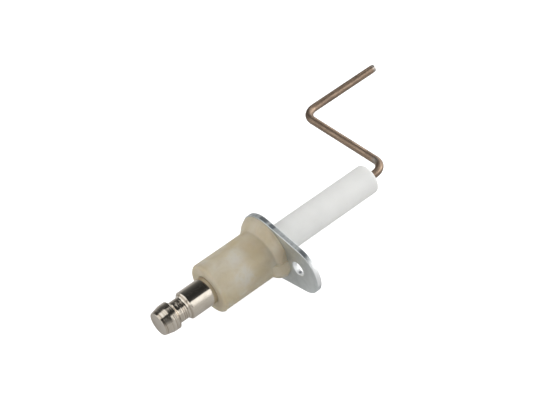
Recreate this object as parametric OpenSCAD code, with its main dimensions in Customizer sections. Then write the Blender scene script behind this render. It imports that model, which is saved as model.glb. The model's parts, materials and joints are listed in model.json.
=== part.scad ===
// Flame sensor probe: a cranked electrode rod in a ceramic tube, held by a flared moulded
// insulator on a one-screw flange plate, with a push-on terminal stud at the cold end.
// X runs along the probe from the terminal to the hot end. The origin is on that axis, on the
// flange's seating face. The screw lobe points to -Y and the rod's crank to +Y.

/* [Terminal stud] */
// Diameter of the terminal's head and shank
terminal_d = 6.35; // [6:0.05:7]
// Length of the terminal that stands out of the body
terminal_len = 13.2; // [12:0.1:16]
// Diameter of the flat on the terminal's tip
tip_flat_d = 5.3; // [4.5:0.1:5.5]
// Length of the cone behind the tip
tip_cone_len = 2.1; // [2:0.1:3.5]
// Length of the straight land behind the cone
land_len = 1.3; // [0.4:0.05:1.6]
// Diameter at the bottom of the retaining groove
groove_d = 4.9; // [4.4:0.1:5.4]
// Length of the straight bottom of the retaining groove
groove_len = 2.25; // [1.6:0.05:2.6]

/* [Insulator body] */
// Diameter of the body's straight barrel
barrel_d = 11.5; // [10.5:0.1:12.5]
// Length from the body's front face to the flange's seating face
body_len = 17.5; // [16:0.1:20]
// Radius of the rounded edge of the front face
front_edge_r = 0.7; // [0.4:0.1:1.5]
// Diameter of the collar where it meets the flange plate
collar_d = 15.2; // [14.2:0.1:15.4]
// Offset of the collar's centre from the probe's axis, towards the plate's round end
collar_shift = 0.4; // [0.2:0.05:0.5]
// Distance from the axis to the collar's flat on the screw side
collar_flat = 6.5; // [6.2:0.05:6.7]

/* [Flange plate] */
// Thickness of the plate
plate_t = 1.2; // [0.8:0.1:1.6]
// Radius of the plate's round end
round_end_r = 7.7; // [7.7:0.05:8.5]
// Offset of the round end's centre from the probe's axis
round_end_shift = 0.5; // [0:0.1:0.8]
// Radius of the plate's screw lobe
lobe_r = 5.8; // [5:0.1:6.5]
// Distance from the axis to the centre of the lobe
lobe_offset = 10.1; // [9.5:0.1:11]
// Distance from the axis to the screw hole
screw_offset = 9.8; // [9.4:0.1:10.4]
// Diameter of the screw hole
screw_hole_d = 3.5; // [3:0.1:4]

/* [Ceramic tube] */
// Outer diameter of the tube
tube_d = 6.8; // [6.4:0.1:7]
// Bore of the tube
tube_bore_d = 2.2; // [2.1:0.05:2.6]
// Length of the tube beyond the seating face
tube_len = 27.4; // [20:0.1:40]
// Radius of the rounded edge at the hot end
tube_edge_r = 0.8; // [0.3:0.1:1]

/* [Electrode rod] */
// Diameter of the rod
rod_d = 1.83; // [1.6:0.01:1.9]
// Distance from the tube's end to the rod's first corner
corner_gap = 4.8; // [4:0.1:8]
// Sideways offset of the rod's far leg from the axis
crank_offset = 27.7; // [15:0.1:40]
// Length of the far leg from the second corner to the tip
far_leg = 21.4; // [10:0.1:40]
// Bend radius on the rod's centre line
bend_r = 3.2; // [2:0.1:3.6]
// Chamfer at the rod's cut tip
rod_tip_chamfer = 0.15; // [0.05:0.05:0.4]

/* [Hidden] */
$fn = 96;
// Overlap of a cutting shape past the face that it cuts
cut = 1;
// Overlap that joins one cut to the next
join = 0.01;

// Places along the axis, from the terminal's tip to the rod's tip
body_front_x = -body_len;
tip_x = body_front_x - terminal_len;
head_x = tip_x + tip_cone_len;
land_end_x = head_x + land_len;
groove_step = (terminal_d - groove_d) / 2;
groove_x = land_end_x + groove_step;
shoulder_x = groove_x + groove_len;
shank_x = shoulder_x + groove_step;
plate_x = -plate_t;
corner_x = tube_len + corner_gap;

// Terminal inside the body: two anchor grooves, then a slimmer root with the blind bore
anchor_gap = 0.15;
anchor_depth = 0.5;
anchor_len = 1.0;
anchor_pitch = 1.8;
anchor_count = 2;
shank_inside_len = 4.6;
shank_end_x = body_front_x + shank_inside_len;
root_d = 4.2;
stud_inside_len = 8.5;
stud_end_x = body_front_x + stud_inside_len;
braze_gap = 0.15;
rod_socket_d = rod_d + 2 * braze_gap;
rod_socket_depth = 5.5;
braze_fillet = 0.4;

// Ceramic tube inside the body, with a ring groove that the cement keys into
seal_len = 1.6;
tube_start_x = stud_end_x + seal_len;
tube_key_depth = 0.3;
tube_key_len = 1.0;
tube_key_gap = 2;
tube_key_x = tube_start_x + tube_key_gap;
cement_t = 0.35;
tube_pocket_d = tube_d + 2 * cement_t;

// Body spigot that passes through the plate
spigot_d = 9.2;

// Collar: a cone that rises out of the barrel, then a steeper rim down to the plate
collar_rim_drop = 0.3;
collar_rim_len = 1.0;
collar_rim_x = plate_x - collar_rim_len;
collar_rim_r = collar_d / 2 - collar_rim_drop;
// Radius gained for each millimetre along the cone
collar_slope = 0.94;
// The cone's small end stays this far inside the barrel all round
collar_root_in = 0.3;
collar_root_r = barrel_d / 2 - collar_shift - collar_root_in;
collar_root_x = collar_rim_x - (collar_rim_r - collar_root_r) / collar_slope;

// Raised pad under the mould's parting line: its face leans out of the barrel to an edge, then
// runs almost upright to the plate
pad_top_z = 0.3;
pad_bottom_z = -2.2;
pad_edge_gap = 2.15;
pad_edge_x = plate_x - pad_edge_gap;
pad_edge_y = collar_flat;
pad_foot_out = 0.4;
pad_foot_y = collar_flat + pad_foot_out;
// The leaning face starts at the pad's root, inside the barrel
pad_lean_slope = 0.55;
pad_root_in = 1.5;
pad_root_y = barrel_d / 2 - pad_root_in;
pad_root_x = pad_edge_x - (pad_edge_y - pad_root_y) / pad_lean_slope;

// Turns a profile about the probe's axis. Profile points are [distance along X, radius].
module turned(profile) {
    rotate([0, 90, 0])
        rotate_extrude()
            polygon([for (p = profile) [p[1], p[0]]]);
}

// A straight round bar or cutter along the probe's axis
module bar(d, from_x, to_x) {
    translate([from_x, 0, 0])
        rotate([0, 90, 0])
            cylinder(d = d, h = to_x - from_x);
}

// A ring along the probe's axis
module ring(outer_d, inner_d, from_x, to_x) {
    difference() {
        bar(outer_d, from_x, to_x);
        bar(inner_d, from_x - cut, to_x + cut);
    }
}

// Solid bar whose far end has a rounded edge, as a true arc turned about the axis
module rounded_end_bar(d, edge_r, from_x, to_x) {
    rotate([0, 90, 0])
        rotate_extrude()
            union() {
                translate([0, from_x])
                    square([d / 2, to_x - from_x - edge_r]);
                translate([0, from_x])
                    square([d / 2 - edge_r, to_x - from_x]);
                translate([d / 2 - edge_r, to_x - edge_r])
                    circle(r = edge_r);
            }
}

// Outline of the terminal stud, with its retaining groove and its hidden anchor grooves
module stud_solid() {
    difference() {
        turned([
            [tip_x, 0],
            [tip_x, tip_flat_d / 2],
            [head_x, terminal_d / 2],
            [land_end_x, terminal_d / 2],
            [groove_x, groove_d / 2],
            [shoulder_x, groove_d / 2],
            [shank_x, terminal_d / 2],
            [shank_end_x, terminal_d / 2],
            [shank_end_x, root_d / 2],
            [stud_end_x, root_d / 2],
            [stud_end_x, 0]
        ]);
        for (i = [0 : anchor_count - 1])
            translate([body_front_x + anchor_gap + i * anchor_pitch, 0, 0])
                ring(terminal_d + cut, terminal_d - 2 * anchor_depth, 0, anchor_len);
    }
}

module terminal_stud() {
    color([0.78, 0.74, 0.68])
        difference() {
            stud_solid();
            bar(rod_socket_d, stud_end_x - rod_socket_depth, stud_end_x + cut);
        }
}

// Braze in the gap between the rod and its socket, with a small fillet at the mouth
module rod_braze() {
    color([0.85, 0.72, 0.40])
        difference() {
            turned([
                [stud_end_x - rod_socket_depth, rod_d / 2],
                [stud_end_x - rod_socket_depth, rod_socket_d / 2],
                [stud_end_x, rod_socket_d / 2],
                [stud_end_x, rod_d / 2 + braze_fillet],
                [stud_end_x + braze_fillet, rod_d / 2]
            ]);
            bar(rod_d, stud_end_x - rod_socket_depth - cut, stud_end_x + cut);
        }
}

// Cement plug round the rod, between the stud's end and the tube's cold end
module cold_end_seal() {
    color([0.82, 0.80, 0.74])
        difference() {
            bar(tube_d, stud_end_x, tube_start_x);
            bar(rod_d, stud_end_x - cut, tube_start_x + cut);
            turned([
                [stud_end_x - cut, 0],
                [stud_end_x - cut, rod_d / 2 + braze_fillet],
                [stud_end_x, rod_d / 2 + braze_fillet],
                [stud_end_x + braze_fillet, rod_d / 2],
                [stud_end_x + braze_fillet, 0]
            ]);
        }
}

module tube_outer() {
    difference() {
        rounded_end_bar(tube_d, tube_edge_r, tube_start_x, tube_len);
        ring(tube_d + cut, tube_d - 2 * tube_key_depth, tube_key_x, tube_key_x + tube_key_len);
    }
}

module ceramic_tube() {
    color([0.94, 0.94, 0.93])
        difference() {
            tube_outer();
            bar(tube_bore_d, tube_start_x - cut, tube_len + cut);
        }
}

// Cement sleeve between the tube and the body's pocket, flush with the seating face
module tube_cement() {
    color([0.86, 0.85, 0.80])
        difference() {
            bar(tube_pocket_d, tube_start_x, 0);
            tube_outer();
        }
}

// Everything of the body that is round about the axis, before the pockets are cut
module body_outer() {
    barrel_r = barrel_d / 2;
    union() {
        rotate([0, 90, 0])
            rotate_extrude()
                union() {
                    translate([0, body_front_x + front_edge_r])
                        square([barrel_r, plate_x - body_front_x - front_edge_r]);
                    translate([0, body_front_x])
                        square([barrel_r - front_edge_r, front_edge_r]);
                    translate([barrel_r - front_edge_r, body_front_x + front_edge_r])
                        circle(r = front_edge_r);
                }
        bar(spigot_d, plate_x - cut, 0);
        translate([0, collar_shift, 0])
            turned([
                [collar_root_x, 0],
                [collar_root_x, collar_root_r],
                [collar_rim_x, collar_rim_r],
                [plate_x, collar_d / 2],
                [plate_x, 0]
            ]);
    }
}

// The collar's flat, which clears the screw's head
module screw_flat_cut() {
    translate([collar_root_x - cut, -collar_d, -collar_d])
        cube([plate_x - collar_root_x + cut, collar_d - collar_flat, 2 * collar_d]);
}

// The raised pad on the flat
module screw_pad() {
    translate([0, 0, pad_bottom_z])
        linear_extrude(height = pad_top_z - pad_bottom_z)
            polygon([
                [pad_root_x, -pad_root_y],
                [pad_edge_x, -pad_edge_y],
                [plate_x, -pad_foot_y],
                [plate_x, -pad_root_y]
            ]);
}

module insulator_body() {
    color([0.80, 0.74, 0.62])
        difference() {
            union() {
                difference() {
                    body_outer();
                    screw_flat_cut();
                }
                screw_pad();
            }
            stud_solid();
            bar(tube_d, stud_end_x - join, tube_start_x + join);
            bar(tube_pocket_d, tube_start_x, cut);
        }
}

// Round end, lobe and the two flanks that touch both circles
module plate_outline() {
    centre_gap = lobe_offset + round_end_shift;
    lean = asin((round_end_r - lobe_r) / centre_gap);
    // Point on a circle where the upper flank touches it
    function touch(centre_y, r, side) = [centre_y - r * sin(lean), side * r * cos(lean)];
    union() {
        translate([round_end_shift, 0])
            circle(r = round_end_r);
        translate([-lobe_offset, 0])
            circle(r = lobe_r);
        polygon([
            touch(round_end_shift, round_end_r, 1),
            touch(-lobe_offset, lobe_r, 1),
            touch(-lobe_offset, lobe_r, -1),
            touch(round_end_shift, round_end_r, -1)
        ]);
    }
}

module flange_plate() {
    color([0.72, 0.74, 0.75])
        difference() {
            // The outline is drawn with its first axis along Y and its second along Z
            translate([plate_x, 0, 0])
                rotate([90, 0, 90])
                    linear_extrude(height = plate_t)
                        plate_outline();
            bar(spigot_d, plate_x - cut, cut);
            translate([0, -screw_offset, 0])
                bar(screw_hole_d, plate_x - cut, cut);
        }
}

// A quarter bend of the rod about a centre in the XY plane
module rod_bend(centre, start_angle) {
    translate([centre[0], centre[1], 0])
        rotate([0, 0, start_angle])
            rotate_extrude(angle = 90)
                translate([bend_r, 0])
                    circle(d = rod_d);
}

module electrode_rod() {
    far_leg_end = corner_x + far_leg;
    color([0.48, 0.40, 0.33])
        union() {
            bar(rod_d, stud_end_x - rod_socket_depth, corner_x - bend_r);
            rod_bend([corner_x - bend_r, bend_r], -90);
            translate([corner_x, bend_r, 0])
                rotate([-90, 0, 0])
                    cylinder(d = rod_d, h = crank_offset - 2 * bend_r);
            rod_bend([corner_x + bend_r, crank_offset - bend_r], 90);
            translate([0, crank_offset, 0])
                turned([
                    [corner_x + bend_r, 0],
                    [corner_x + bend_r, rod_d / 2],
                    [far_leg_end - rod_tip_chamfer, rod_d / 2],
                    [far_leg_end, rod_d / 2 - rod_tip_chamfer],
                    [far_leg_end, 0]
                ]);
        }
}

insulator_body();
flange_plate();
ceramic_tube();
electrode_rod();
terminal_stud();
rod_braze();
cold_end_seal();
tube_cement();
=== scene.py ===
"""Looks for the flame sensor probe: studio, camera, detailed meshes and materials.

Lengths are in metres in the CAD frame: X runs along the probe towards the hot end, the origin
is on the axis at the flange's seating face, the screw lobe points to -Y, the crank to +Y.
"""

import json
import math

import bmesh
import bpy
from mathutils import Matrix, Vector


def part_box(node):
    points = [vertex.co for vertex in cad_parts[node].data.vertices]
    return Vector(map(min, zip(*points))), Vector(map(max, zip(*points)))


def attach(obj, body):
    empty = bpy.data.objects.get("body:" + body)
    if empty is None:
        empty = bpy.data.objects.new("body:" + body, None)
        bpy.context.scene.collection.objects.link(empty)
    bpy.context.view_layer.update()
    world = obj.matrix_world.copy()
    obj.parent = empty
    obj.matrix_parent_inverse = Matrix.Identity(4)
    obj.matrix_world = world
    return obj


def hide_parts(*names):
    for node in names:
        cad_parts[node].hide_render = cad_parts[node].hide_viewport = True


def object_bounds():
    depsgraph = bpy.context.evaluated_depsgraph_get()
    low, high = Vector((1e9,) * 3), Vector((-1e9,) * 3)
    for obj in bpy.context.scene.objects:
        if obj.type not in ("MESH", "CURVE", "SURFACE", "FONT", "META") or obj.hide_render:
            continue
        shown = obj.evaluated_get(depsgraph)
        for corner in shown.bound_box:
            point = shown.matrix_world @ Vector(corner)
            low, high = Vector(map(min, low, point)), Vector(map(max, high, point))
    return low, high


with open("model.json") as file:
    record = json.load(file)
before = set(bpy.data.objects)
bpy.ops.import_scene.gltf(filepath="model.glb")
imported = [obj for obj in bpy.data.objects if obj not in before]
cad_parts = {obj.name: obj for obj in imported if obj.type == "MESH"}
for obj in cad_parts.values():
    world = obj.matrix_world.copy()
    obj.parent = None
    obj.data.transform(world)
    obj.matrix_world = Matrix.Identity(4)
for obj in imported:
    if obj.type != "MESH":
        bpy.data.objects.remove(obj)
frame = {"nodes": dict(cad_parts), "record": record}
cad_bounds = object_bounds()

MM = 0.001

# ---------------------------------------------------------------- places, from the frame
stud_low, stud_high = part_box("terminal_stud")
body_low, body_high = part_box("insulator_body")
plate_low, plate_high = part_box("flange_plate")
tube_low, tube_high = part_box("ceramic_tube")
rod_low, rod_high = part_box("electrode_rod")
cement_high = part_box("tube_cement")[1]
mounts = {m["name"]: m for m in frame["record"]["mounts"]}

TERMINAL_R = stud_high[2]
BODY_FRONT = body_low[0]
PLATE_X = plate_low[0]
TUBE_R = tube_high[2]
TUBE_END = tube_high[0]
ROD_R = rod_high[2]
CRANK_Y = rod_high[1] - ROD_R
SCREW_Y = mounts["flange_screw_hole"]["pos_m"][1]
SCREW_R = mounts["flange_screw_hole"]["dims"]["r_mm"] * MM

# ---------------------------------------------------------------- sizes that the frame doesn't hold
# Terminal: where the cone and the land end, where the groove's floor begins and ends, and where
# the shank begins
TIP_R = 2.65 * MM
CONE_X = stud_low[0] + 2.1 * MM
LAND_X = CONE_X + 1.5 * MM
GROOVE_X = LAND_X + 0.5 * MM
SHANK_X = stud_low[0] + 7.1 * MM
SHOULDER_X = SHANK_X - 0.65 * MM
GROOVE_R = 2.45 * MM
LAND_TAPER = 0.03 * MM

# Terminal: how its hidden part sits in the body
STUD_INSIDE = 4.6 * MM
ROOT_R = 2.1 * MM
SOCKET_GAP = 0.15 * MM
SOCKET_DEPTH = 5.5 * MM
ANCHOR_COUNT = 2
ANCHOR_GAP = 0.15 * MM
ANCHOR_PITCH = 1.8 * MM
ANCHOR_LEN = 1.0 * MM
ANCHOR_DEPTH = 0.5 * MM

# Flange plate
LOBE_R = 5.8 * MM

# Rod: from the tube's end to the first corner, the bends' radius, and the pinched tip
CORNER_GAP = 4.8 * MM
BEND_R = 3.2 * MM
PINCH_LEN = 0.7 * MM
PINCH_SHARE = 0.16

# Tube: bore, rounding of the hot end, and the hidden key groove near the cold end
TUBE_BORE_R = 1.1 * MM
TUBE_ROUNDING = 0.8 * MM
KEY_START = 2.0 * MM
KEY_LEN = 1.0 * MM
KEY_DEPTH = 0.3 * MM

# Body: barrel, collar (a cone and a steeper rim, off centre) and spigot
BARREL_R = 5.75 * MM
SPIGOT_R = 4.6 * MM
COLLAR_SHIFT = 0.4 * MM
COLLAR_R = body_high[1] - COLLAR_SHIFT
COLLAR_RIM_R = COLLAR_R - 0.3 * MM
COLLAR_RIM_LEN = 1.0 * MM
COLLAR_SLOPE = 0.94
COLLAR_FLAT = 6.5 * MM
COLLAR_BLEND = 0.35 * MM
BARREL_BLEND = 0.16 * MM
FOOT_EDGE = 0.12 * MM
FRONT_ROUNDING = 0.7 * MM

# Body: how far the lower half of the mould is smaller, and over what height that fades in
HALF_STEP = 0.12 * MM
HALF_STEP_FADE = 2.5 * MM

# Body: flash along the parting line
FLASH_HEIGHT = 0.07 * MM
FLASH_WIDTH = 0.10 * MM

# Body: the raised pad on the screw side, under the parting line
PAD_TOP_Z = 0.3 * MM
PAD_BOTTOM_Z = -2.2 * MM
PAD_START_X = PLATE_X - 3.8 * MM
PAD_START_Y = BARREL_R - 0.15 * MM
PAD_EDGE_X = PLATE_X - 2.15 * MM
PAD_EDGE_Y = COLLAR_FLAT
PAD_FOOT_Y = COLLAR_FLAT + 0.4 * MM


# ---------------------------------------------------------------- mesh helpers
def rounded(points, steps=5):
    """Turns [x, r, corner radius] points into a line of (x, r) with a true arc at each corner."""
    line = []
    last = len(points) - 1
    for i, (x, r, corner) in enumerate(points):
        here = Vector((x, r))
        if corner == 0 or i in (0, last):
            line.append((x, r))
            continue
        back = (Vector(points[i - 1][:2]) - here)
        ahead = (Vector(points[i + 1][:2]) - here)
        room = 0.49 * min(back.length, ahead.length)
        back.normalize()
        ahead.normalize()
        half = back.angle(ahead) / 2
        reach = min(corner / math.tan(half), room)
        radius = reach * math.tan(half)
        centre = here + (back + ahead).normalized() * (radius / math.sin(half))
        start = here + back * reach - centre
        end = here + ahead * reach - centre
        turn = start.angle_signed(end)
        for k in range(steps + 1):
            spin = -turn * k / steps
            spoke = Matrix.Rotation(spin, 2) @ start
            line.append(tuple(centre + spoke))
    return line


def evenly(line, longest):
    """Adds points so that no stretch of a line is longer than longest."""
    full = [line[0]]
    for a, b in zip(line, line[1:]):
        count = max(1, math.ceil(math.dist(a, b) / longest))
        for k in range(1, count + 1):
            full.append(tuple(p + (q - p) * k / count for p, q in zip(a, b)))
    return full


def mesh_object(name, verts, faces, smooth=True):
    """A new object from plain vertices and faces, linked to the scene."""
    mesh = bpy.data.meshes.new(name)
    mesh.from_pydata([tuple(v) for v in verts], [], faces)
    mesh.validate()
    mesh.update()
    mesh.polygons.foreach_set("use_smooth", [smooth] * len(mesh.polygons))
    made = bpy.data.objects.new(name, mesh)
    bpy.context.scene.collection.objects.link(made)
    return made


def lathe(name, line, angles, closed, shape=None):
    """Turns a line of (x, r) about X. A point with r = 0 becomes one pole vertex.

    angles are measured from -Y towards +Z. closed joins the line's end to its start.
    shape(x, r, angle) may change a point's radius.
    """
    verts = []
    rings = []
    for x, r in line:
        if r < 1e-9:
            rings.append([len(verts)] * len(angles))
            verts.append((x, 0.0, 0.0))
            continue
        rings.append(list(range(len(verts), len(verts) + len(angles))))
        for angle in angles:
            radius = shape(x, r, angle) if shape else r
            verts.append((x, -radius * math.cos(angle), radius * math.sin(angle)))
    pairs = list(zip(rings, rings[1:]))
    if closed:
        pairs.append((rings[-1], rings[0]))
    faces = []
    for one, two in pairs:
        for k in range(len(angles)):
            nxt = (k + 1) % len(angles)
            corners = [one[k], two[k], two[nxt], one[nxt]]
            face = [c for j, c in enumerate(corners) if c != corners[j - 1]]
            if len(face) > 2:
                faces.append(face)
    made = mesh_object(name, verts, faces)
    face_outward(made)
    return made


def face_outward(made):
    """Makes every face of a closed mesh point out."""
    volume = 0.0
    mesh = made.data
    for poly in mesh.polygons:
        first = mesh.vertices[poly.vertices[0]].co
        for a, b in zip(poly.vertices[1:], poly.vertices[2:]):
            volume += first.dot(mesh.vertices[a].co.cross(mesh.vertices[b].co))
    if volume < 0:
        mesh.flip_normals()


def join_close_points(piece):
    """Joins doubled points, such as those round a filled curve, and turns every face outward."""
    work = bmesh.new()
    work.from_mesh(piece.data)
    bmesh.ops.remove_doubles(work, verts=work.verts, dist=0.002 * MM)
    bmesh.ops.recalc_face_normals(work, faces=work.faces)
    work.to_mesh(piece.data)
    work.free()


def soft_min(a, b, blend):
    """Smaller of two lengths, with a rounded change from one to the other."""
    h = max(blend - abs(a - b), 0) / blend
    return min(a, b) - h * h * blend / 4


def soft_max(a, b, blend):
    """Larger of two lengths, with a rounded change from one to the other."""
    return -soft_min(-a, -b, blend)


def between(value, low, high):
    """0 below low, 1 above high, smooth between them."""
    t = min(max((value - low) / (high - low), 0), 1)
    return t * t * (3 - 2 * t)


def full_turn(count):
    """Evenly spaced angles once round."""
    return [2 * math.pi * k / count for k in range(count)]


def stand_for(piece, node, material):
    """Rides a finished piece on the probe in place of its CAD node."""
    piece.data.materials.clear()
    piece.data.materials.append(material)
    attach(piece, "root")
    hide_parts(node)


# ---------------------------------------------------------------- material helpers
class Surface:
    """A node material with one Principled shader and short calls for its pattern nodes."""

    def __init__(self, name, **settings):
        self.material = bpy.data.materials.new(name)
        self.material.use_nodes = True
        self.nodes = self.material.node_tree.nodes
        self.links = self.material.node_tree.links
        self.shader = self.nodes["Principled BSDF"]
        for socket, value in settings.items():
            self.shader.inputs[socket.replace("_", " ")].default_value = value
        self.place = self.nodes.new("ShaderNodeTexCoord").outputs["Object"]

    def link(self, out, into):
        self.links.new(out, into)

    def stretched(self, scale, source=None):
        """Coordinates scaled per axis."""
        node = self.nodes.new("ShaderNodeMapping")
        node.inputs["Scale"].default_value = scale
        self.link(source or self.place, node.inputs["Vector"])
        return node.outputs["Vector"]

    def noise(self, scale, detail=4.0, rough=0.5, source=None, distortion=0.0):
        node = self.nodes.new("ShaderNodeTexNoise")
        node.inputs["Scale"].default_value = scale
        node.inputs["Detail"].default_value = detail
        node.inputs["Roughness"].default_value = rough
        node.inputs["Distortion"].default_value = distortion
        self.link(source or self.place, node.inputs["Vector"])
        return node.outputs["Fac"]

    def ramp(self, source, *stops):
        """Colour ramp. Each stop is (position, colour) with a colour or a grey level."""
        node = self.nodes.new("ShaderNodeValToRGB")
        elements = node.color_ramp.elements
        while len(elements) < len(stops):
            elements.new(0.5)
        for element, (position, colour) in zip(elements, stops):
            element.position = position
            grey = isinstance(colour, (int, float))
            element.color = (colour, colour, colour, 1) if grey else (*colour, 1)
        self.link(source, node.inputs["Fac"])
        return node.outputs["Color"]

    def mix(self, factor, one, two, blend="MIX"):
        node = self.nodes.new("ShaderNodeMix")
        node.data_type = "RGBA"
        node.blend_type = blend
        for value, socket in ((factor, node.inputs[0]), (one, node.inputs[6]), (two, node.inputs[7])):
            if isinstance(value, bpy.types.NodeSocket):
                self.link(value, socket)
            elif isinstance(value, (int, float)):
                socket.default_value = value
            else:
                socket.default_value = (*value, 1)
        return node.outputs[2]

    def math(self, operation, one, two=0.5):
        node = self.nodes.new("ShaderNodeMath")
        node.operation = operation
        for value, socket in ((one, node.inputs[0]), (two, node.inputs[1])):
            if isinstance(value, bpy.types.NodeSocket):
                self.link(value, socket)
            else:
                socket.default_value = value
        return node.outputs[0]

    def bump(self, height, distance, strength=1.0, under=None):
        node = self.nodes.new("ShaderNodeBump")
        node.inputs["Distance"].default_value = distance
        node.inputs["Strength"].default_value = strength
        self.link(height, node.inputs["Height"])
        if under:
            self.link(under, node.inputs["Normal"])
        return node.outputs["Normal"]

    def span(self, axis, low, high):
        """0 where a coordinate is below low, 1 above high."""
        split = self.nodes.new("ShaderNodeSeparateXYZ")
        self.link(self.place, split.inputs["Vector"])
        node = self.nodes.new("ShaderNodeMapRange")
        node.inputs["From Min"].default_value = low
        node.inputs["From Max"].default_value = high
        self.link(split.outputs[axis], node.inputs["Value"])
        return node.outputs["Result"]

    def near(self, point, inner, outer, source=None):
        """1 within inner of a point, 0 beyond outer."""
        gap = self.nodes.new("ShaderNodeVectorMath")
        gap.operation = "DISTANCE"
        gap.inputs[1].default_value = point
        self.link(source or self.place, gap.inputs[0])
        node = self.nodes.new("ShaderNodeMapRange")
        node.interpolation_type = "SMOOTHSTEP"
        node.inputs["From Min"].default_value = outer
        node.inputs["From Max"].default_value = inner
        self.link(gap.outputs["Value"], node.inputs["Value"])
        return node.outputs["Result"]

    def set(self, socket, out):
        self.link(out, self.shader.inputs[socket])


# ---------------------------------------------------------------- materials
def nickel_material():
    """Nickel plating over turned brass: cutter rings on the head, draw lines on the shank."""
    s = Surface("nickel_plate", Metallic=1.0)
    patches = s.noise(420, 3.0, 0.55)
    on_shank = s.span("X", SHANK_X - 0.3 * MM, SHANK_X)
    rings = s.noise(1.0, 3.0, 0.6, s.stretched((2700, 25, 25)))
    streaks = s.noise(1.0, 3.0, 0.6, s.stretched((70, 2600, 2600)))
    tarnish = s.ramp(patches, (0.35, 0.0), (0.75, 1.0))
    plated = s.mix(tarnish, (0.70, 0.65, 0.57), (0.61, 0.55, 0.465))
    worn = s.mix(s.ramp(rings, (0.38, 1.0), (0.56, 0.0)), plated, (0.36, 0.30, 0.235))
    s.set("Base Color", s.mix(on_shank, worn, plated))
    s.set("Roughness", s.ramp(patches, (0.3, 0.11), (0.8, 0.20)))
    turned = s.bump(rings, 0.08 * MM, 1.0)
    drawn = s.bump(streaks, 0.006 * MM, 1.0)
    choose = s.nodes.new("ShaderNodeMix")
    choose.data_type = "VECTOR"
    s.link(on_shank, choose.inputs[0])
    s.link(turned, choose.inputs[4])
    s.link(drawn, choose.inputs[5])
    s.set("Normal", choose.outputs[1])
    return s.material


def insulator_material():
    """Natural moulded resin: translucent beige with pale flow clouds and a satin skin."""
    s = Surface("moulded_resin", IOR=1.52, Subsurface_Weight=0.35, Subsurface_Scale=1.2 * MM,
                Subsurface_Radius=(1.2, 0.8, 0.45))
    amber = (0.53, 0.45, 0.295)
    milky = (0.63, 0.61, 0.545)
    brown = (0.44, 0.36, 0.235)
    clouds = s.noise(170, 3.0, 0.5, distortion=0.6)
    flow = s.noise(420, 4.0, 0.55, distortion=1.0)
    # A milky swirl in the middle of the barrel and a clearer, browner part next to the collar
    middle = (BODY_FRONT + PAD_START_X) / 2
    lower = s.near((middle + 0.2 * MM, -4.9 * MM, 2.6 * MM), 0.8 * MM, 4.0 * MM)
    upper = s.near((middle + 0.4 * MM, -1.9 * MM, 5.4 * MM), 0.4 * MM, 3.4 * MM)
    swirl = s.math("MAXIMUM", lower, upper)
    clear = s.near((PAD_START_X - 1.6 * MM, -2.4 * MM, 5.2 * MM), 0.8 * MM, 3.6 * MM)
    base = s.mix(s.ramp(clouds, (0.36, 0.0), (0.68, 0.7)), amber, milky)
    base = s.mix(s.math("MULTIPLY", swirl, s.ramp(flow, (0.36, 0.0), (0.58, 1.0))), base, milky)
    base = s.mix(s.math("MULTIPLY", s.span("X", PAD_START_X, PLATE_X), 0.4), base, (0.64, 0.58, 0.47))
    base = s.mix(s.math("MULTIPLY", clear, 0.55), base, brown)
    # Painted shade in the collar's corner with the plate, above the pad: a darker brown there
    corner = s.near((PLATE_X - 0.4 * MM, -COLLAR_FLAT, PAD_TOP_Z + 1.9 * MM), 0.7 * MM, 3.2 * MM)
    base = s.mix(s.math("MULTIPLY", corner, 0.6), base, (0.36, 0.29, 0.18))
    # Painted shade on the front face round the terminal, a little towards the screw side
    painted_terminal_shade = s.near((BODY_FRONT, -0.9 * MM, 0.0), 3.4 * MM, 4.5 * MM)
    base = s.mix(s.math("MULTIPLY", painted_terminal_shade, 0.6), base, brown)
    s.set("Base Color", s.mix(s.ramp(flow, (0.45, 0.0), (0.75, 0.4)), base, brown))
    s.set("Roughness", s.ramp(flow, (0.3, 0.33), (0.7, 0.48)))
    skin = s.noise(3200, 3.0, 0.6)
    s.set("Normal", s.bump(skin, 0.02 * MM, 0.35, s.bump(clouds, 0.15 * MM, 0.3)))
    return s.material


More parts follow.
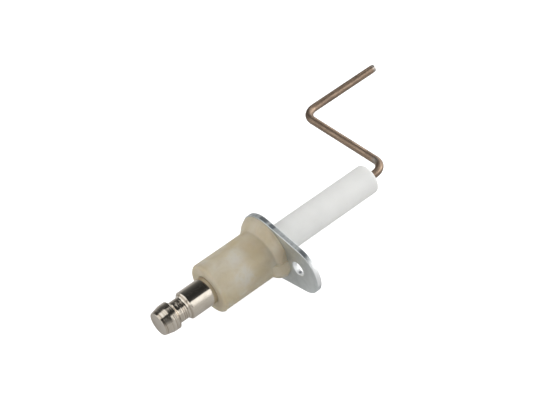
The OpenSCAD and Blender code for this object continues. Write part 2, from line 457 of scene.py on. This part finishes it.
def zinc_material():
    """Zinc on rolled sheet: cool grey, faint rolling lines, cloudy passivation, rough cut edge."""
    s = Surface("zinc_sheet", Metallic=0.9)
    lines = s.noise(1.0, 4.0, 0.6, s.stretched((900, 350, 6000)))
    clouds = s.noise(330, 4.0, 0.55)
    # How much a place belongs to the sheared edge and not to the two faces
    split = s.nodes.new("ShaderNodeSeparateXYZ")
    s.link(s.nodes.new("ShaderNodeTexCoord").outputs["Normal"], split.inputs["Vector"])
    on_edge = s.ramp(s.math("ABSOLUTE", split.outputs["X"]), (0.1, 1.0), (0.3, 0.0))
    face = s.mix(s.ramp(clouds, (0.35, 0.0), (0.7, 1.0)), (0.69, 0.72, 0.72), (0.56, 0.59, 0.59))
    tears = s.noise(1.0, 3.0, 0.6, s.stretched((900, 2600, 2600)))
    edge = s.mix(s.ramp(tears, (0.35, 0.0), (0.7, 1.0)), (0.60, 0.63, 0.63), (0.42, 0.45, 0.46))
    # Painted highlight on the lobe's end and painted light on the screw hole's wall: a pale colour
    # there
    painted_lobe_highlight = s.near((PLATE_X / 2, plate_low[1], 1.8 * MM), 2.2 * MM, 4.4 * MM)
    hole_wall_light = s.near((PLATE_X / 2, SCREW_Y, 0.0), SCREW_R + 0.06 * MM, SCREW_R + 0.16 * MM)
    edge = s.mix(s.math("MAXIMUM", painted_lobe_highlight, hole_wall_light), edge, (0.82, 0.83, 0.83))
    # Burnished dark where the punch began and ended its straight cuts, and dark at one spot low in the
    # hole
    round_y = plate_high[1] - plate_high[2]
    lobe_y = plate_low[1] + LOBE_R
    dark_spots = s.near((PLATE_X / 2, round_y - 0.4 * MM, plate_high[2]), 0.8 * MM, 1.5 * MM)
    for place, inner, outer in (
        ((PLATE_X / 2, round_y - 3.1 * MM, plate_high[2]), 0.6 * MM, 1.2 * MM),
        ((PLATE_X / 2, lobe_y - 1.9 * MM, 0.94 * LOBE_R), 0.6 * MM, 1.5 * MM),
        ((0.42 * PLATE_X, SCREW_Y + 0.26 * SCREW_R, -0.97 * SCREW_R), 0.15 * MM, 0.55 * MM),
    ):
        dark_spots = s.math("MAXIMUM", dark_spots, s.near(place, inner, outer))
    edge = s.mix(s.math("MULTIPLY", dark_spots, 0.75), edge, (0.10, 0.11, 0.13))
    s.set("Base Color", s.mix(on_edge, face, edge))
    face_rough = s.ramp(clouds, (0.3, 0.30), (0.75, 0.45))
    edge_rough = s.ramp(tears, (0.3, 0.45), (0.7, 0.6))
    s.set("Roughness", s.mix(on_edge, face_rough, edge_rough))
    s.set("Normal", s.bump(tears, 0.02 * MM, 0.4, s.bump(lines, 0.015 * MM, 0.5)))
    return s.material


def alumina_material():
    """Matt fired alumina: near white, a fine grain and a few faint specks."""
    s = Surface("alumina", IOR=1.6, Subsurface_Weight=0.2, Subsurface_Scale=0.8 * MM,
                Subsurface_Radius=(1.0, 0.95, 0.9))
    tone = s.noise(260, 3.0, 0.5)
    specks = s.noise(2600, 2.0, 0.5)
    base = s.mix(s.ramp(tone, (0.35, 0.0), (0.7, 1.0)), (0.84, 0.84, 0.82), (0.80, 0.80, 0.78))
    s.set("Base Color", s.mix(s.ramp(specks, (0.70, 0.0), (0.78, 0.35)), base, (0.60, 0.58, 0.55)))
    grain = s.noise(5200, 3.0, 0.6)
    s.set("Normal", s.bump(grain, 0.02 * MM, 0.5))
    s.set("Roughness", s.ramp(tone, (0.3, 0.48), (0.7, 0.62)))
    return s.material


def rod_material():
    """Oxidised heat-resisting alloy: brown bronze with long draw lines and dark scale."""
    s = Surface("oxidised_rod", Metallic=1.0)
    lay = s.nodes.new("ShaderNodeAttribute")
    lay.attribute_name = "lay"
    along = lay.outputs["Vector"]
    lines = s.noise(1.0, 4.0, 0.6, s.stretched((160, 5200, 5200), along))
    patches = s.noise(1.0, 4.0, 0.6, s.stretched((260, 500, 500), along))
    base = s.mix(s.ramp(lines, (0.35, 0.0), (0.65, 1.0)), (0.215, 0.155, 0.112), (0.395, 0.292, 0.215))
    base = s.mix(s.ramp(patches, (0.5, 0.0), (0.72, 0.6)), base, (0.12, 0.092, 0.072))
    # Rubbed grey inside the first bend, and bare metal where the tip was sheared
    bend = (TUBE_END + CORNER_GAP - ROD_R, BEND_R - 0.5 * MM, ROD_R)
    rubbed = s.near(bend, 0.4 * MM, 1.5 * MM)
    sheared = s.near((rod_high[0], CRANK_Y, 0.0), 0.9 * MM, 1.4 * MM)
    base = s.mix(s.math("MULTIPLY", rubbed, 0.7), base, (0.30, 0.285, 0.26))
    s.set("Base Color", s.mix(s.math("MULTIPLY", sheared, 0.6), base, (0.40, 0.40, 0.39)))
    s.set("Roughness", s.ramp(patches, (0.3, 0.37), (0.75, 0.56)))
    s.set("Normal", s.bump(lines, 0.02 * MM, 0.6))
    return s.material


def cement_material():
    """Refractory cement: matt, gritty, grey white."""
    s = Surface("refractory_cement", Roughness=0.85)
    grit = s.noise(3000, 4.0, 0.65)
    shade = s.ramp(grit, (0.35, 0.0), (0.7, 1.0))
    s.set("Base Color", s.mix(shade, (0.74, 0.72, 0.66), (0.55, 0.52, 0.46)))
    s.set("Normal", s.bump(grit, 0.05 * MM, 0.7))
    return s.material


def braze_material():
    """Dull braze metal with a pebbled skin."""
    s = Surface("braze_metal", Metallic=1.0, Roughness=0.45)
    skin = s.noise(2500, 3.0, 0.5)
    shade = s.ramp(skin, (0.4, 0.0), (0.7, 1.0))
    s.set("Base Color", s.mix(shade, (0.75, 0.60, 0.32), (0.55, 0.40, 0.20)))
    s.set("Normal", s.bump(skin, 0.03 * MM, 0.5))
    return s.material


# ---------------------------------------------------------------- pieces
def make_terminal():
    """Push-on terminal: flat tip, cone, land, groove and shank, then the hidden root."""
    tip = stud_low[0]
    end = stud_high[0]
    r = TERMINAL_R
    sharp = 0.03 * MM
    outline = [
        (tip, 0, 0),
        (tip, TIP_R, 0.16 * MM),
        (CONE_X, r - LAND_TAPER, 0.25 * MM),
        (LAND_X, r, 0.12 * MM),
        (GROOVE_X, GROOVE_R, 0.25 * MM),
        (SHOULDER_X, GROOVE_R, 0.2 * MM),
        (SHANK_X, r, 0.1 * MM),
    ]
    for k in range(ANCHOR_COUNT):
        start = BODY_FRONT + ANCHOR_GAP + k * ANCHOR_PITCH
        outline += [
            (start, r, sharp),
            (start, r - ANCHOR_DEPTH, sharp),
            (start + ANCHOR_LEN, r - ANCHOR_DEPTH, sharp),
            (start + ANCHOR_LEN, r, sharp),
        ]
    shank_end = BODY_FRONT + STUD_INSIDE
    socket_r = ROD_R + SOCKET_GAP
    outline += [
        (shank_end, r, 0.05 * MM),
        (shank_end, ROOT_R, 0.05 * MM),
        (end, ROOT_R, 0.05 * MM),
        (end, socket_r, 0.02 * MM),
        (end - SOCKET_DEPTH, socket_r, 0.02 * MM),
        (end - SOCKET_DEPTH, 0, 0),
    ]
    line = evenly(rounded(outline), 0.35 * MM)
    piece = lathe("terminal", line, full_turn(160), closed=False)
    stand_for(piece, "terminal_stud", nickel_material())


def collar_radius(x, angle):
    """Distance from the axis to the body's skin, with the collar's off-centre cone and rim."""
    cone = COLLAR_RIM_R - (PLATE_X - COLLAR_RIM_LEN - x) * COLLAR_SLOPE
    rim = COLLAR_R - (PLATE_X - x) * (COLLAR_R - COLLAR_RIM_R) / COLLAR_RIM_LEN
    round_in = max(x - PLATE_X + FOOT_EDGE, 0)
    rounding = FOOT_EDGE - math.sqrt(FOOT_EDGE ** 2 - round_in ** 2)
    circle = soft_min(cone, rim, COLLAR_BLEND) - rounding
    # Well inside the barrel there is no collar yet
    if circle < BARREL_R - 2 * COLLAR_SHIFT:
        return BARREL_R
    across = COLLAR_SHIFT * math.sin(angle)
    offset = math.sqrt(circle * circle - across * across) - COLLAR_SHIFT * math.cos(angle)
    return soft_max(BARREL_R, offset, BARREL_BLEND)


def pad_face(x):
    """Distance from the axis plane to the pad's face: leaning first, then almost upright."""
    lean = (PAD_EDGE_Y - PAD_START_Y) / (PAD_EDGE_X - PAD_START_X)
    upright = (PAD_FOOT_Y - PAD_EDGE_Y) / (PLATE_X - PAD_EDGE_X)
    on_lean = PAD_EDGE_Y + (x - PAD_EDGE_X) * lean
    on_upright = PAD_EDGE_Y + (x - PAD_EDGE_X) * upright
    return soft_min(on_lean, on_upright, 0.12 * MM)


def body_skin(x, radius, angle):
    """Radius of the body's skin: barrel, collar, screw flat, pad and parting line."""
    slack = 0.001 * MM
    screw_side = 0.3
    flat_blend = 0.1 * MM
    pad_edge = 0.07 * MM
    pad_rise = 0.15 * MM
    flash_from = PAD_START_X - 0.4 * MM
    flash_full = PAD_START_X + 0.6 * MM
    if radius < BARREL_R - slack or x > PLATE_X + slack:
        return radius
    skin = collar_radius(x, angle)
    height = skin * math.sin(angle)
    facing = math.cos(angle)
    skin -= HALF_STEP * between(-height, 0, HALF_STEP_FADE)
    # The flat, the pad and the flash are on the screw side only
    if facing < screw_side:
        return skin
    flat = soft_min(skin, COLLAR_FLAT / facing, flat_blend)
    in_pad = between(height, PAD_BOTTOM_Z - pad_edge, PAD_BOTTOM_Z + pad_edge)
    in_pad *= 1 - between(height, PAD_TOP_Z - pad_edge, PAD_TOP_Z + pad_edge)
    in_pad *= between(x, PAD_START_X, PAD_START_X + pad_rise)
    skin = flat + (pad_face(x) / facing - flat) * in_pad
    off_line = (height - PAD_TOP_Z) / FLASH_WIDTH
    flash = between(x, flash_from, flash_full)
    return skin + FLASH_HEIGHT * flash * math.exp(-off_line * off_line)


def make_body():
    """Moulded insulator: round-edged barrel, flared collar, screw flat and pad, inner pockets."""
    pocket_r = cement_high[2]
    stud_r = TERMINAL_R
    cold_end = tube_low[0]
    stud_end = stud_high[0]
    shank_end = BODY_FRONT + STUD_INSIDE
    front = rounded([
        (BODY_FRONT, stud_r, 0.0),
        (BODY_FRONT, BARREL_R, FRONT_ROUNDING),
        (PAD_START_X, BARREL_R, 0.0),
    ], 7)
    skin = evenly(front, 0.3 * MM)
    # The collar needs rings close together, and more of them round its foot's small edge
    near_plate = PLATE_X - FOOT_EDGE
    collar_rings = 34
    foot_rings = 4
    for k in range(1, collar_rings + 1):
        skin.append((PAD_START_X + (near_plate - PAD_START_X) * k / collar_rings, BARREL_R))
    for k in range(1, foot_rings + 1):
        skin.append((near_plate + FOOT_EDGE * math.sin(math.pi / 2 * k / foot_rings), BARREL_R))
    back = rounded([
        (PLATE_X, BARREL_R, 0),
        (PLATE_X, SPIGOT_R, 0.02 * MM),
        (0.0, SPIGOT_R, 0.08 * MM),
        (0.0, pocket_r, 0.0),
    ], 4)
    inner = [
        (0.0, pocket_r),
        (cold_end, pocket_r),
        (cold_end, TUBE_R),
        (stud_end, TUBE_R),
        (stud_end, ROOT_R),
        (shank_end, ROOT_R),
        (shank_end, stud_r),
    ]
    for k in reversed(range(ANCHOR_COUNT)):
        start = BODY_FRONT + ANCHOR_GAP + k * ANCHOR_PITCH
        inner += [
            (start + ANCHOR_LEN, stud_r),
            (start + ANCHOR_LEN, stud_r - ANCHOR_DEPTH),
            (start, stud_r - ANCHOR_DEPTH),
            (start, stud_r),
        ]
    line = skin + back[1:-1] + evenly(inner, 0.6 * MM)
    # Crowding above 0 puts the angles closer together on the screw side
    count = 320
    crowding = 0.66
    angles = [even - crowding * math.sin(even) for even in full_turn(count)]
    piece = lathe("insulator", line, angles, closed=True, shape=body_skin)
    stand_for(piece, "insulator_body", insulator_material())


def make_plate():
    """Stamped flange: flat curve with two holes, given thickness and rounded edges."""
    edge = 0.14 * MM
    thick = plate_high[0] - plate_low[0]
    round_r = plate_high[2]
    round_y = plate_high[1] - round_r
    lobe_y = plate_low[1] + LOBE_R
    lean = math.asin((round_r - LOBE_R) / (round_y - lobe_y))
    quarter = math.pi / 2
    arc_steps = 72
    hole_steps = 96
    outline = []
    for centre, r, start, end in (
        (round_y, round_r, -quarter - lean, quarter + lean),
        (lobe_y, LOBE_R, quarter + lean, 3 * quarter - lean),
    ):
        for k in range(arc_steps + 1):
            turn = start + (end - start) * k / arc_steps
            outline.append((centre + r * math.cos(turn), r * math.sin(turn)))
    holes = []
    for centre, r in ((SCREW_Y, SCREW_R), (0.0, SPIGOT_R)):
        holes.append([(centre + r * math.cos(t), r * math.sin(t)) for t in full_turn(hole_steps)])
    curve = bpy.data.curves.new("plate", "CURVE")
    curve.dimensions = "2D"
    curve.fill_mode = "BOTH"
    curve.extrude = thick / 2 - edge
    curve.bevel_depth = edge
    curve.bevel_resolution = 3
    curve.offset = -edge
    for loop in [outline] + holes:
        spline = curve.splines.new("POLY")
        spline.points.add(len(loop) - 1)
        for point, (a, b) in zip(spline.points, loop):
            point.co = (a, b, 0, 1)
        spline.use_cyclic_u = True
    shaper = bpy.data.objects.new("plate_shaper", curve)
    bpy.context.scene.collection.objects.link(shaper)
    bpy.context.view_layer.update()
    evaluated = shaper.evaluated_get(bpy.context.evaluated_depsgraph_get())
    mesh = bpy.data.meshes.new_from_object(evaluated)
    bpy.data.objects.remove(shaper)
    # The curve's first axis becomes Y, its second Z and its thickness X
    turn = Matrix(((0, 0, 1, PLATE_X + thick / 2), (1, 0, 0, 0), (0, 1, 0, 0), (0, 0, 0, 1)))
    mesh.transform(turn)
    piece = bpy.data.objects.new("flange", mesh)
    bpy.context.scene.collection.objects.link(piece)
    join_close_points(piece)
    mesh.polygons.foreach_set("use_smooth", [True] * len(mesh.polygons))
    mesh.set_sharp_from_angle(angle=math.radians(40))
    face_outward(piece)
    stand_for(piece, "flange_plate", zinc_material())


def make_tube():
    """Ceramic tube: bore, rounded hot end and the hidden key groove."""
    low = tube_low[0]
    key = low + KEY_START
    key_end = key + KEY_LEN
    key_r = TUBE_R - KEY_DEPTH
    outline = [
        (low, TUBE_BORE_R, 0.0),
        (low, TUBE_R, 0.1 * MM),
        (key, TUBE_R, 0.03 * MM),
        (key, key_r, 0.05 * MM),
        (key_end, key_r, 0.05 * MM),
        (key_end, TUBE_R, 0.03 * MM),
        (TUBE_END, TUBE_R, TUBE_ROUNDING),
        (TUBE_END, TUBE_BORE_R, 0.15 * MM),
        (low, TUBE_BORE_R, 0.0),
    ]
    line = evenly(rounded(outline, 7), 0.4 * MM)[:-1]
    piece = lathe("tube", line, full_turn(144), closed=True)
    stand_for(piece, "ceramic_tube", alumina_material())


def rod_path():
    """Centre line of the rod as (point, tangent, distance) from the socket to the tip."""
    corner_x = TUBE_END + CORNER_GAP
    longest = 0.5 * MM
    steps = 24
    points = [
        Vector((rod_low[0], 0, 0)),
        Vector((corner_x, 0, 0)),
        Vector((corner_x, CRANK_Y, 0)),
        Vector((rod_high[0], CRANK_Y, 0)),
    ]
    spine = [points[0]]
    for before, corner, after in zip(points, points[1:], points[2:]):
        back = (before - corner).normalized()
        ahead = (after - corner).normalized()
        centre = corner + (back + ahead) * BEND_R
        for k in range(steps + 1):
            turn = math.pi / 2 * k / steps
            spine.append(centre - ahead * BEND_R * math.cos(turn) - back * BEND_R * math.sin(turn))
    spine.append(points[-1])
    full = [spine[0]]
    for a, b in zip(spine, spine[1:]):
        count = max(1, math.ceil((b - a).length / longest))
        full += [a.lerp(b, k / count) for k in range(1, count + 1)]
    path = []
    distance = 0.0
    for i, point in enumerate(full):
        if i:
            distance += (point - full[i - 1]).length
        ahead = full[min(i + 1, len(full) - 1)] - full[max(i - 1, 0)]
        path.append((point, ahead.normalized(), distance))
    return path


def make_rod():
    """Bent rod with a sheared tip. The lay attribute holds distance along and round it."""
    around = 48
    path = rod_path()
    total = path[-1][2]
    up = Vector((0, 0, 1))
    verts = []
    lay = []
    rings = []
    for point, ahead, distance in path:
        side = up.cross(ahead).normalized()
        # The shear pinches the last bit of the rod a little
        pinch = 1 - PINCH_SHARE * between(distance, total - PINCH_LEN, total)
        ring = []
        for k in range(around):
            turn = 2 * math.pi * k / around
            ring.append(len(verts))
            verts.append(point + (side * math.cos(turn) * pinch + up * math.sin(turn)) * ROD_R)
            lay.append((distance, ROD_R * math.cos(turn), ROD_R * math.sin(turn)))
        rings.append(ring)
    faces = []
    for one, two in zip(rings, rings[1:]):
        for k in range(around):
            nxt = (k + 1) % around
            faces.append([one[k], two[k], two[nxt], one[nxt]])
    for ring, (point, _, distance) in ((rings[0], path[0]), (rings[-1], path[-1])):
        centre = len(verts)
        verts.append(point)
        lay.append((distance, 0, 0))
        faces += [[ring[k], ring[(k + 1) % around], centre] for k in range(around)]
    piece = mesh_object("electrode", verts, faces)
    attribute = piece.data.attributes.new("lay", "FLOAT_VECTOR", "POINT")
    attribute.data.foreach_set("vector", [c for place in lay for c in place])
    join_close_points(piece)
    piece.data.set_sharp_from_angle(angle=math.radians(50))
    stand_for(piece, "electrode_rod", rod_material())


def finish_hidden_nodes():
    """The sealed inner pieces keep their CAD meshes and get their own materials."""
    cement = cement_material()
    braze = braze_material()
    for node, material in (("rod_braze", braze), ("cold_end_seal", cement), ("tube_cement", cement)):
        for slot in frame["nodes"][node].material_slots:
            slot.material = material


# ---------------------------------------------------------------- studio
def make_camera():
    """A long lens on the terminal's side, rolled so that the probe rises to the upper right."""
    distance = 0.4024
    azimuth = math.radians(-121.03)
    elevation = math.radians(40.87)
    roll = math.radians(-12.86)
    # The view is centred on a point above the flange, beside the axis
    aim = Vector((4.02, 4.82, 7.13)) * MM
    cam_data = bpy.data.cameras.new("photo_camera")
    cam_data.sensor_fit = "HORIZONTAL"
    cam_data.sensor_width = 36.0
    cam_data.lens = 129.2
    cam_data.clip_start = 0.01
    cam_data.clip_end = 10.0
    camera = bpy.data.objects.new("photo_camera", cam_data)
    bpy.context.scene.collection.objects.link(camera)
    out = Vector((
        math.cos(elevation) * math.cos(azimuth),
        math.cos(elevation) * math.sin(azimuth),
        math.sin(elevation),
    ))
    turn = out.to_track_quat("Z", "Y").to_matrix() @ Matrix.Rotation(roll, 3, "Z")
    camera.matrix_world = Matrix.Translation(aim + out * distance) @ turn.to_4x4()
    bpy.context.scene.camera = camera


def make_floor():
    """A plain pale floor at the height of the probe's lowest point."""
    reach = 3.0
    low = cad_bounds[0][2]
    verts = [(-reach, -reach, low), (reach, -reach, low), (reach, reach, low), (-reach, reach, low)]
    floor = mesh_object("studio_floor", verts, [[0, 1, 2, 3]], smooth=False)
    s = Surface("floor_paper", Roughness=0.9, Emission_Color=(1, 1, 1, 1))
    tone = s.noise(30, 2.0, 0.5)
    shade = s.ramp(tone, (0.4, 0.0), (0.6, 1.0))
    s.set("Base Color", s.mix(shade, (0.46, 0.46, 0.46), (0.45, 0.45, 0.45)))
    # A light table: burnt out for the camera, a softer glow for everything that it lights
    glow = 0.22
    burnt_out = 0.74
    seen = s.nodes.new("ShaderNodeLightPath").outputs["Is Camera Ray"]
    s.set("Emission Strength", s.math("ADD", s.math("MULTIPLY", seen, burnt_out), glow))
    floor.data.materials.append(s.material)


def make_room():
    """A dim room: pale at and below the horizon, dark above."""
    world = bpy.data.worlds.new("studio_room")
    world.use_nodes = True
    nodes = world.node_tree.nodes
    links = world.node_tree.links
    direction = nodes.new("ShaderNodeTexCoord").outputs["Generated"]
    split = nodes.new("ShaderNodeSeparateXYZ")
    links.new(direction, split.inputs["Vector"])
    ramp = nodes.new("ShaderNodeValToRGB")
    stops = ((0.0, 0.50), (0.12, 0.44), (0.28, 0.26), (0.5, 0.12), (0.9, 0.03))
    elements = ramp.color_ramp.elements
    while len(elements) < len(stops):
        elements.new(0.5)
    for element, (height, level) in zip(elements, stops):
        element.position = height
        element.color = (level, level, level, 1)
    links.new(split.outputs["Z"], ramp.inputs["Fac"])
    links.new(ramp.outputs["Color"], nodes["Background"].inputs["Color"])
    bpy.context.scene.world = world


def make_softbox(name, direction, width, height, radiance):
    """A soft light that faces the probe from a direction, as bright as radiance all over."""
    distance = 0.7
    data = bpy.data.lights.new(name, "AREA")
    data.shape = "RECTANGLE"
    data.size = width
    data.size_y = height
    data.energy = radiance * math.pi * width * height
    light = bpy.data.objects.new(name, data)
    bpy.context.scene.collection.objects.link(light)
    out = Vector(direction).normalized()
    light.location = out * distance
    light.rotation_euler = out.to_track_quat("Z", "Y").to_euler()


def make_lights():
    """Six soft boxes round the probe."""
    # In front of the screw lobe, to the camera's right: the highlight along the terminal
    make_softbox("front_box", (0.62, -0.80, 0.36), 0.50, 0.62, 1.4)
    # Above, a little behind, to the camera's left: fills the tops
    make_softbox("top_box", (-0.33, 0.147, 0.93), 0.60, 0.73, 1.2)
    # To the camera's left: lights the front faces
    make_softbox("left_box", (-0.85, -0.42, 0.50), 0.6, 0.6, 1.2)
    # Behind, to the left: lights the far sides and the chamfers that face it
    make_softbox("back_box", (-0.715, 0.48, 0.50), 0.7, 0.6, 1.0)
    # Beyond the hot end: lights the tube and the rod, which the flange shades from the left
    make_softbox("right_box", (0.90, -0.32, 0.30), 0.6, 0.5, 3.0)
    make_softbox("far_box", (0.85, 0.45, 0.45), 0.5, 0.5, 1.8)


make_camera()
make_room()
make_floor()
make_lights()
make_terminal()
make_body()
make_plate()
make_tube()
make_rod()
finish_hidden_nodes()
bpy.context.scene.view_settings.view_transform = "Standard"
